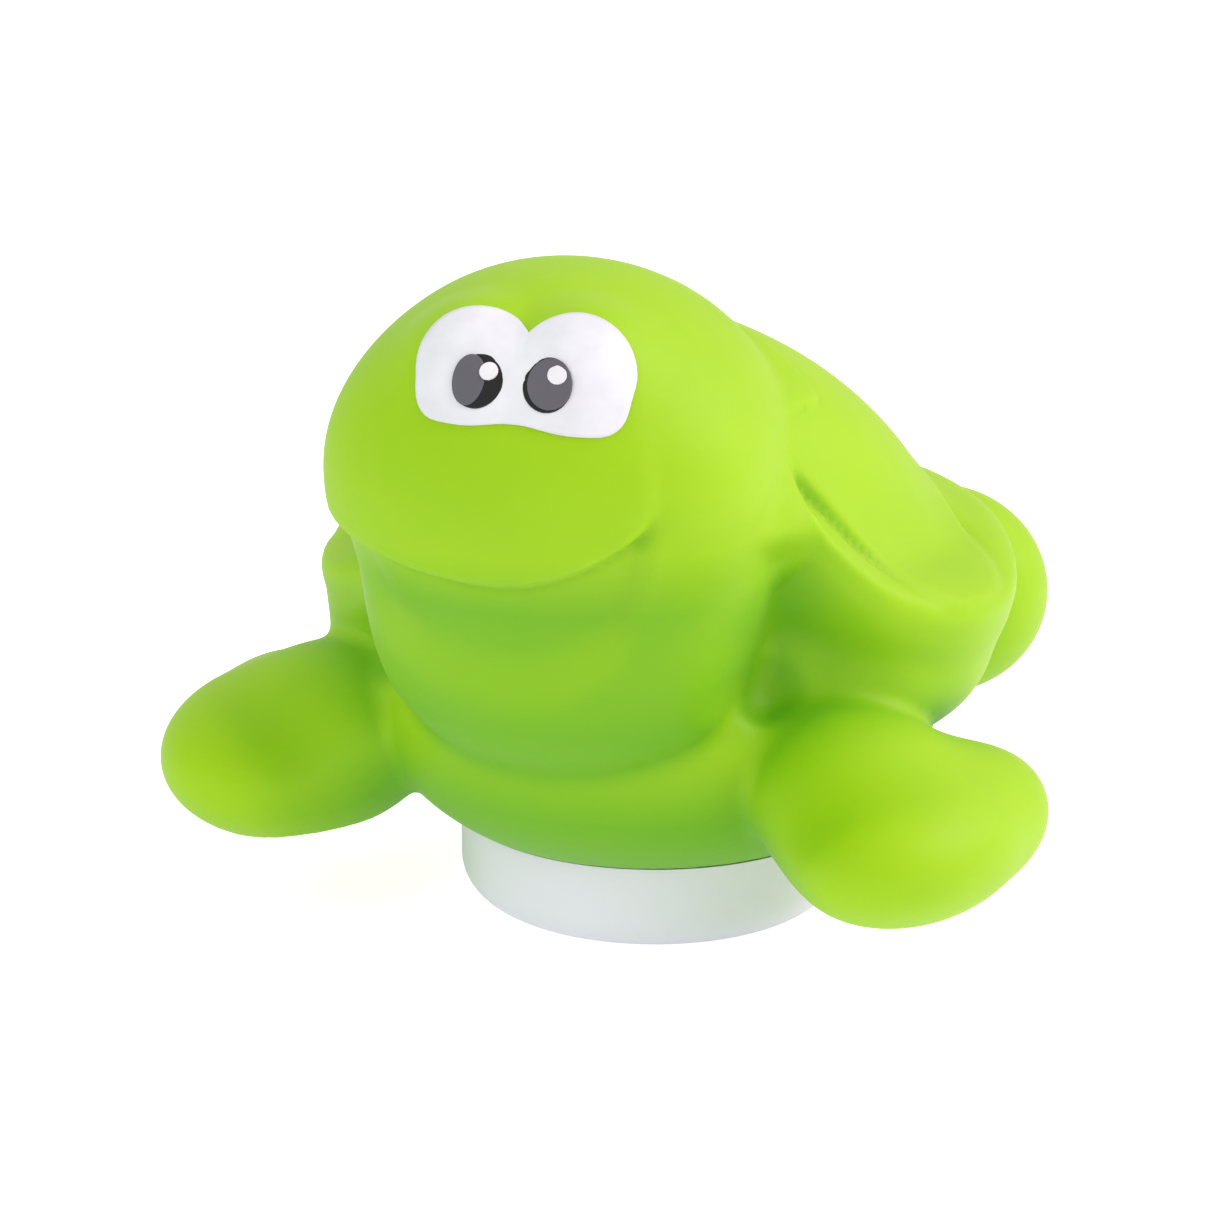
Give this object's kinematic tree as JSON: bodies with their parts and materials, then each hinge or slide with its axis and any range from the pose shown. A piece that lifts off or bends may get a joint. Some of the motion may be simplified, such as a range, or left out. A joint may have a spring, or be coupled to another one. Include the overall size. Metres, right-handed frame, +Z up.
{
  "type": "floating pool thermometer",
  "caption": "Floating pool thermometer: a hollow vinyl turtle float twist-locked to a round weighted base with a bimetal dial read through a window underneath.",
  "frame": {"origin": "centre of the base's underside, on the surface that it stands on", "axes": "+Z up, the turtle faces -Y, its left is +X"},
  "size_m": [0.1356, 0.1275, 0.1045],
  "materials": {
    "green_vinyl": "satin soft vinyl",
    "collar_plastic": "moulded",
    "white_plastic": "semi-gloss moulded",
    "seal_rubber": "matt",
    "steel": "bright",
    "ballast_steel": "zinc plated",
    "clear_window": "polished clear polycarbonate",
    "bezel_plastic": "moulded",
    "dial_white": "printed card",
    "brass": "turned",
    "movement_plastic": "moulded",
    "bridge_aluminium": "brushed",
    "bimetal": "rolled strip",
    "pointer_red": "satin paint"
  },
  "bodies": {
    "base": {"base_housing": "white_plastic", "base_cap": "white_plastic", "cap_screws": "steel", "cap_seal": "seal_rubber", "seat_seal": "seal_rubber", "ballast_weight_1": "ballast_steel", "ballast_weight_2": "ballast_steel", "ballast_weight_3": "ballast_steel", "ballast_weight_4": "ballast_steel", "window_gasket": "seal_rubber", "window_lens": "clear_window", "bezel_ring": "bezel_plastic", "dial_plate": "dial_white", "dial_screws": "steel", "stop_pins": "brass", "movement_plate": "movement_plastic", "front_bush": "brass", "bridge_pillar_left": "brass", "bridge_pillar_right": "brass", "movement_bridge": "bridge_aluminium", "rear_bush": "brass", "bridge_screws": "steel", "bimetal_coil": "bimetal", "coil_anchor": "brass"},
    "float": {"turtle_body": "green_vinyl", "float_collar": "collar_plastic"},
    "pointer": {"arbor": "steel", "coil_collet": "brass", "pointer": "pointer_red"}
  },
  "joints": [
    {"name": "twist_lock", "type": "hinge", "parent": "base", "child": "float", "pos_m": [0, 0, 0.0142], "axis": [0, 0, 1], "range_deg": [0, 40]},
    {"name": "pointer_turn", "type": "hinge", "parent": "base", "child": "pointer", "pos_m": [0, 0, 0.0093], "axis": [0, 0, 1], "range_deg": [-135, 135], "stiffness_Nm_per_rad": 0.00001, "deforming": ["bimetal_coil"]}
  ]
}
